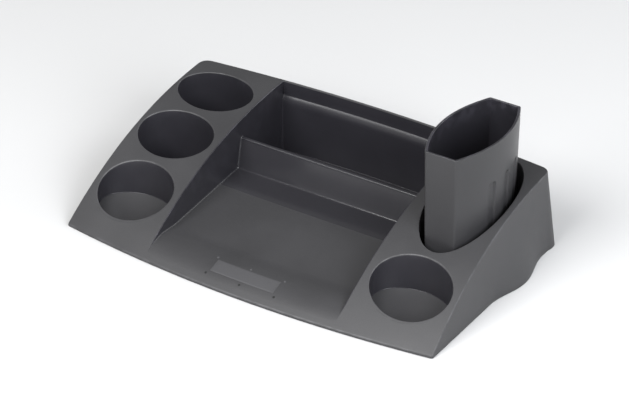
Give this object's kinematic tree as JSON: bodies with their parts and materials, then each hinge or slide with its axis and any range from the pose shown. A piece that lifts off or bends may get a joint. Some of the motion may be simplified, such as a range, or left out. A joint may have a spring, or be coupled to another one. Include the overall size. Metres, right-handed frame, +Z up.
{
  "type": "desk organizer",
  "caption": "Wedge-shaped moulded desk organizer with round wells, a sloping tray, a divided rear compartment and a lift-out barrel-shaped pen cup in an oval socket.",
  "frame": {"origin": "under the middle of the object's box, on the surface that the feet stand on", "axes": "+X to the pen cup's side along the front, +Y from the low front edge to the tall back, +Z up"},
  "size_m": [0.3764, 0.2231, 0.131],
  "materials": {
    "body_plastic": "fine matte texture on the top and skirts, smoother and glossier inside the tray and compartments",
    "cup_plastic": "fine satin texture outside, smoother inside",
    "foot_rubber": "matte black rubber"
  },
  "bodies": {
    "base": {"organizer_body": "body_plastic", "rubber_foot_front_left": "foot_rubber", "rubber_foot_front_right": "foot_rubber", "rubber_foot_back_left": "foot_rubber", "rubber_foot_back_right": "foot_rubber"},
    "cup": {"pen_cup": "cup_plastic"}
  },
  "joints": [
    {"name": "pen_cup_lift", "type": "slide", "parent": "base", "child": "cup", "axis": [0, 0, 1], "range_m": [0, 0.09]}
  ]
}
